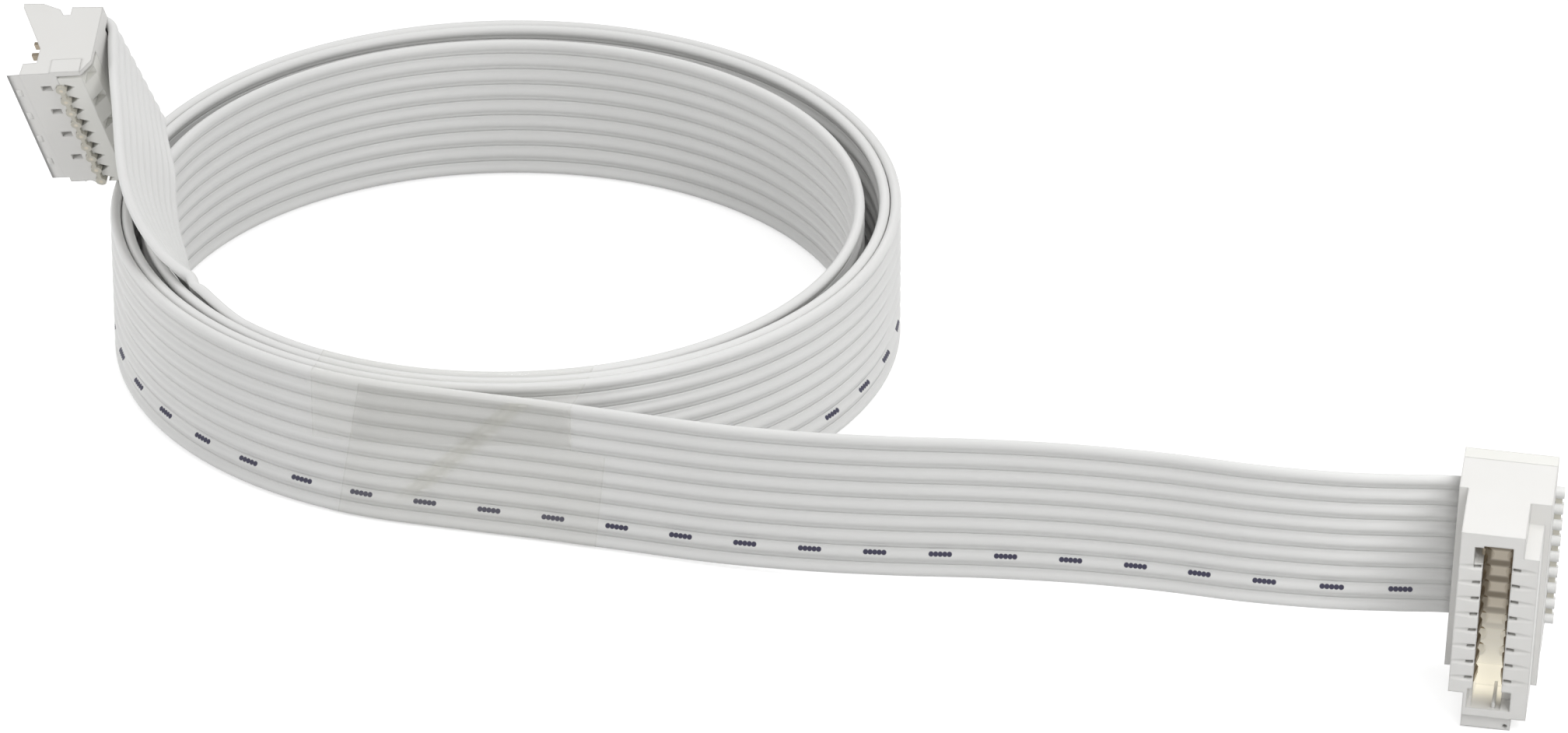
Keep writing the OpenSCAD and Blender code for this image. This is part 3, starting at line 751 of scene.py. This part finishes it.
class StageSettings(bpy.types.PropertyGroup):
    distance: FloatProperty(name="Camera distance", description="From the middle of the harness",
                            default=0.665, unit="LENGTH")
    elevation: FloatProperty(name="Camera elevation", description="Above the standing surface",
                             default=math.radians(29), subtype="ANGLE")
    aim: FloatVectorProperty(name="Aim", description="Point in the middle of the picture",
                             default=(0.00133, -0.00077, 0.0055), subtype="TRANSLATION", size=3,
                             precision=5)
    lens: FloatProperty(name="Lens", description="Focal length on a 36 mm sensor, in mm",
                        default=217.857, unit="CAMERA")
    floor_color: FloatVectorProperty(name="Floor", description="Colour of the floor",
                                     default=(0.62, 0.62, 0.62), subtype="COLOR", size=3)
    floor_glow: FloatProperty(name="Floor glow", description="How much the seen floor is lifted",
                              default=0.62, min=0)
    sky: FloatProperty(name="Room light", description="Strength of the light from all round",
                       default=0.66)
    side: FloatProperty(name="Side light", description="Power of the lamp on the right, in watts",
                        default=0.13, unit="POWER")
    fill: FloatProperty(name="Fill light", description="Power of the lamp on the left, in watts",
                        default=0.0027, unit="POWER", precision=5)
    glint: FloatProperty(name="Glint", description="Power of the narrow lamp behind, in watts",
                         default=0.5, unit="POWER")
    key: FloatProperty(name="Key light", description="Power of the large lamp above, in watts",
                       default=1.7, unit="POWER")


# ---- operators ----

RIBBON_NODES = [f"ribbon_turn_{n}" for n in range(1, 8)]
RIBBON_NODES += ["ribbon_outer_tail", "ribbon_inner_tail"]
# centre of the first raised pad in the inline connector's axes, and the pads' size
FIRST_PAD = (0.00039, 0.0001, 0.0104)
PAD_SIZE = (0.00042, 0.00030, 0.00072)
PAD_ROUNDING = 0.00009
# place of the cut webs across the edge connector, and their size
WEB_PLACE = (0.0034, 0.0091)
WEB_SIZE = (0.00045, 0.00026, 0.00064)
FLOOR_REACH = 2.0
# place and size of each lamp, with an aim and a spread where it has its own
LAMPS = {
    "key": {"place": (0.05, 0.18, 1.0), "size": (0.6, 0.6)},
    "side": {"place": (0.10, -0.12, 0.14), "size": (0.10, 0.10), "aim": (0.02, -0.03, 0)},
    "fill": {"place": (-0.15, -0.05, 0.04), "size": (0.05, 0.05),
             "aim": (-0.05, 0.017, 0.016), "spread": math.radians(40)},
    "glint": {"place": (0.05, 0.8, 0.48), "size": (0.5, 0.05)},
}


class HARNESS_OT_ribbon_wires(bpy.types.Operator):
    """Sweep the nine wires of the ribbon, with the vinyl web between them"""
    bl_idname = "harness.ribbon_wires"
    bl_label = "Ribbon Wires"

    def execute(self, context):
        sizes = context.scene.harness_ribbon
        line = ribbon_line(sizes.ring_step)
        vinyl = surface_material("vinyl", sizes.color, 0.96, 0.42, change=0.12, cloud=220.0,
                                 grain=2500.0, IOR=1.46)
        printed = printed_vinyl(vinyl, sizes)
        for number in range(1, WAYS + 1):
            offset = ((WAYS + 1) / 2 - number) * sizes.pitch
            path = [place + row * offset for place, _, row in line]
            section = wire_section(number, sizes)
            rings = [[p + outward * n + row * w for n, w in section]
                     for p, (_, outward, row) in zip(path, line)]
            reach = arc_lengths(path)
            wire = laid_grid(f"wire_{number}", rings, reach, closed=True,
                             material=printed if number == sizes.print_wire else vinyl)
            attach(wire, "root")
            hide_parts(*RIBBON_NODES)
        for node in ("edge_ribbon_end", "inline_ribbon_end"):
            dress(node, vinyl)
        return {"FINISHED"}


class HARNESS_OT_binding_tape(bpy.types.Operator):
    """Wrap the clear film round the front of the coil and the start of the outer tail"""
    bl_idname = "harness.binding_tape"
    bl_label = "Binding Tape"

    def execute(self, context):
        settings = context.scene.harness_tape
        pitch = context.scene.harness_ribbon.pitch
        tail = [Matrix.Rotation(-COIL_TURN, 3, "Z") @ place for place, _ in outer_tail()]
        rows, shares = [], []
        for side, level, left, right in film_wrap():
            places = [left + (right - left) * j / FILM_COLUMNS for j in range(FILM_COLUMNS + 1)]
            rows.append([COIL_AT + coil_turned(film_point(side, level, x, pitch, tail))
                         for x in places])
            shares += [crease_share(side, level, x) for x in places]
        reach = arc_lengths([row[FILM_COLUMNS // 2] for row in rows])
        film = laid_grid("clear_tape", rows, reach, closed=False, material=clear_film(settings))
        fold = film.data.attributes.new("Fold", "FLOAT", "POINT")
        fold.data.foreach_set("value", shares)
        wall = film.modifiers.new("Thickness", "SOLIDIFY")
        wall.thickness = settings.thickness
        wall.offset = 0
        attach(film, "root")
        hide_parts("binding_tape")
        return {"FINISHED"}


class HARNESS_OT_connector_finishes(bpy.types.Operator):
    """Give both connectors, their contacts and their conductors a finish"""
    bl_idname = "harness.connector_finishes"
    bl_label = "Connector Finishes"

    def execute(self, context):
        colors = context.scene.harness_connectors
        housing = surface_material("milky_nylon", colors.housing, (0.96, 0.955, 0.94), 0.48,
                                   cloud=260.0, grain=5000.0, bump=0.05, soft_edge=0.00018,
                                   IOR=1.5)
        # the edge connector's housing, with painted shade, painted light and a painted glow in
        # its card slot
        edge_housing = housing.copy()
        edge_housing.name = "edge_nylon"
        paint_slot_shade_and_glow(edge_housing, colors)
        # darker and yellower than the vinyl; on the webs between the stubs it is painted shade
        cream = surface_material("cut_vinyl", colors.cut_end_and_painted_shade, 0.9, 0.55, cloud=900.0,
                                 grain=6000.0, bump=0.1, IOR=1.46)
        cover = surface_material("cover_nylon", colors.cover, (0.96, 0.95, 0.93), 0.5,
                                 cloud=260.0, grain=5000.0, bump=0.05, soft_edge=0.00015,
                                 IOR=1.5)
        contact = surface_material("spring_strip", colors.contact, 0.8, 0.38, change=0.2,
                                   cloud=900.0, grain=9000.0, bump=0.08, Metallic=1.0)
        strand = surface_material("tinned_strand", colors.conductor, 0.85, 0.42, change=0.2,
                                  cloud=1500.0, grain=9000.0, bump=0.1, Metallic=0.6)
        for name in NODES:
            if "contact" in name:
                dress(name, contact)
            elif "conductors" in name:
                dress(name, strand)
            elif name == "edge_housing":
                dress(name, edge_housing)
            elif name == "inline_housing":
                dress(name, housing)
            elif name.endswith("_cover"):
                dress(name, cover)
        dress("inline_ribbon_end", cream)
        self.add_pads(housing)
        self.add_webs(cream)
        return {"FINISHED"}

    def add_pads(self, material):
        """Four small raised pads along the edge of the inline connector's wire side."""
        x, y, z = FIRST_PAD
        centres = [(x, y, z - WAY_PITCH * way) for way in (0, 2, 4, 6)]
        pads = small_blocks("inline_pads", INLINE_AT, INLINE_AXES, centres, PAD_SIZE, material,
                            rounding=PAD_ROUNDING)
        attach(pads, "root")

    def add_webs(self, material):
        """The thin web that still joins the cut ends beyond the edge connector; its darker colour
        is painted shade between the stubs.
        """
        x, y = WEB_PLACE
        centres = [(x, y, EDGE_FIRST_WAY - WAY_PITCH * (gap + 0.5)) for gap in range(WAYS - 1)]
        webs = small_blocks("edge_end_webs", EDGE_AT, EDGE_AXES, centres, WEB_SIZE, material)
        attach(webs, "root")


class HARNESS_OT_stage(bpy.types.Operator):
    """Set up the floor, the soft light and the camera"""
    bl_idname = "harness.stage"
    bl_label = "Stage"

    def execute(self, context):
        stage = context.scene.harness_stage
        scene = context.scene
        scene.view_settings.view_transform = "Standard"
        self.make_floor(stage)
        self.make_light(stage, scene)
        camera = bpy.data.cameras.new("camera")
        camera.sensor_width = 36
        camera.lens = stage.lens
        camera.clip_start, camera.clip_end = 0.01, 20
        obj = bpy.data.objects.new("camera", camera)
        back = Vector((0, -math.cos(stage.elevation), math.sin(stage.elevation)))
        obj.location = Vector(stage.aim) + back * stage.distance
        obj.rotation_euler = (math.pi / 2 - stage.elevation, 0, 0)
        scene.collection.objects.link(obj)
        scene.camera = obj
        return {"FINISHED"}

    def make_floor(self, stage):
        """Plain floor. Where the camera sees it, it is lifted to white, and keeps its shadow."""
        mat = bpy.data.materials.new("pale_floor")
        mat.use_nodes = True
        tree = mat.node_tree
        rays = add_node(tree, "ShaderNodeLightPath", (-500, 300)).outputs
        mirrored = math_node(tree, "MAXIMUM", (-300, 150), rays["Is Glossy Ray"],
                             rays["Is Transmission Ray"])
        seen = math_node(tree, "MAXIMUM", (-300, 300), rays["Is Camera Ray"], mirrored)
        feed(tree, tree.nodes["Principled BSDF"], Base_Color=(*stage.floor_color, 1),
             Roughness=0.9, Specular_IOR_Level=0.1, Emission_Color=(1, 1, 1, 1),
             Emission_Strength=math_node(tree, "MULTIPLY", (-100, 300), seen, stage.floor_glow))
        bm = bmesh.new()
        bmesh.ops.create_grid(bm, x_segments=8, y_segments=8, size=FLOOR_REACH)
        floor = add_object("floor", bm, mat)

    def make_light(self, stage, scene):
        """Even light from all round, white where it is seen, and the four lamps."""
        world = bpy.data.worlds.new("room")
        world.use_nodes = True
        scene.world = world
        tree = world.node_tree
        tree.nodes.clear()
        rays = add_node(tree, "ShaderNodeLightPath", (-800, 200)).outputs
        seen = math_node(tree, "MAXIMUM", (-600, 200), rays["Is Camera Ray"],
                         rays["Is Transmission Ray"])
        room = add_node(tree, "ShaderNodeBackground", (-300, 100))
        white = add_node(tree, "ShaderNodeBackground", (-300, -50))
        for node, strength in ((room, stage.sky), (white, 1.0)):
            feed(tree, node, Color=(1, 1, 1, 1), Strength=strength)
        mixed = add_node(tree, "ShaderNodeMixShader", (-50, 50))
        for socket, value in zip(mixed.inputs, (seen, room.outputs[0], white.outputs[0])):
            tree.links.new(value, socket)
        out = add_node(tree, "ShaderNodeOutputWorld", (150, 50))
        tree.links.new(mixed.outputs[0], out.inputs["Surface"])
        for name, lamp in LAMPS.items():
            self.hang_lamp(name, getattr(stage, name), **lamp)

    def hang_lamp(self, name, power, place, size, aim=(0, 0, 0), spread=math.pi):
        """Round or long lamp at a place, turned towards the point it is aimed at."""
        lamp = bpy.data.lights.new(name, "AREA")
        lamp.shape = "ELLIPSE"
        lamp.size, lamp.size_y = size
        lamp.energy = power
        lamp.spread = spread
        obj = bpy.data.objects.new(name, lamp)
        obj.location = place
        obj.rotation_euler = (Vector(aim) - obj.location).to_track_quat("-Z", "Y").to_euler()
        obj.visible_camera = False
        bpy.context.scene.collection.objects.link(obj)


class HARNESS_PT_panel(bpy.types.Panel):
    bl_label = "Ribbon Wiring Harness"
    bl_idname = "HARNESS_PT_panel"
    bl_space_type = "VIEW_3D"
    bl_region_type = "UI"
    bl_category = "Harness"

    def draw(self, context):
        for settings in (context.scene.harness_ribbon, context.scene.harness_tape,
                         context.scene.harness_connectors, context.scene.harness_stage):
            box = self.layout.box()
            for name in settings.__annotations__:
                box.prop(settings, name)
        for operator in STEPS:
            self.layout.operator(operator.bl_idname)


STEPS = (
    HARNESS_OT_stage,
    HARNESS_OT_ribbon_wires,
    HARNESS_OT_binding_tape,
    HARNESS_OT_connector_finishes,
)
SETTINGS = {
    "harness_ribbon": RibbonSettings,
    "harness_tape": TapeSettings,
    "harness_connectors": ConnectorSettings,
    "harness_stage": StageSettings,
}


def register():
    for cls in (*SETTINGS.values(), *STEPS, HARNESS_PT_panel):
        bpy.utils.register_class(cls)
    for name, cls in SETTINGS.items():
        setattr(bpy.types.Scene, name, PointerProperty(type=cls))


def unregister():
    for name in SETTINGS:
        delattr(bpy.types.Scene, name)
    for cls in reversed((*SETTINGS.values(), *STEPS, HARNESS_PT_panel)):
        bpy.utils.unregister_class(cls)


def main():
    register()
    bpy.ops.harness.stage()
    bpy.ops.harness.ribbon_wires()
    bpy.ops.harness.binding_tape()
    bpy.ops.harness.connector_finishes()


if __name__ == "__main__":
    main()
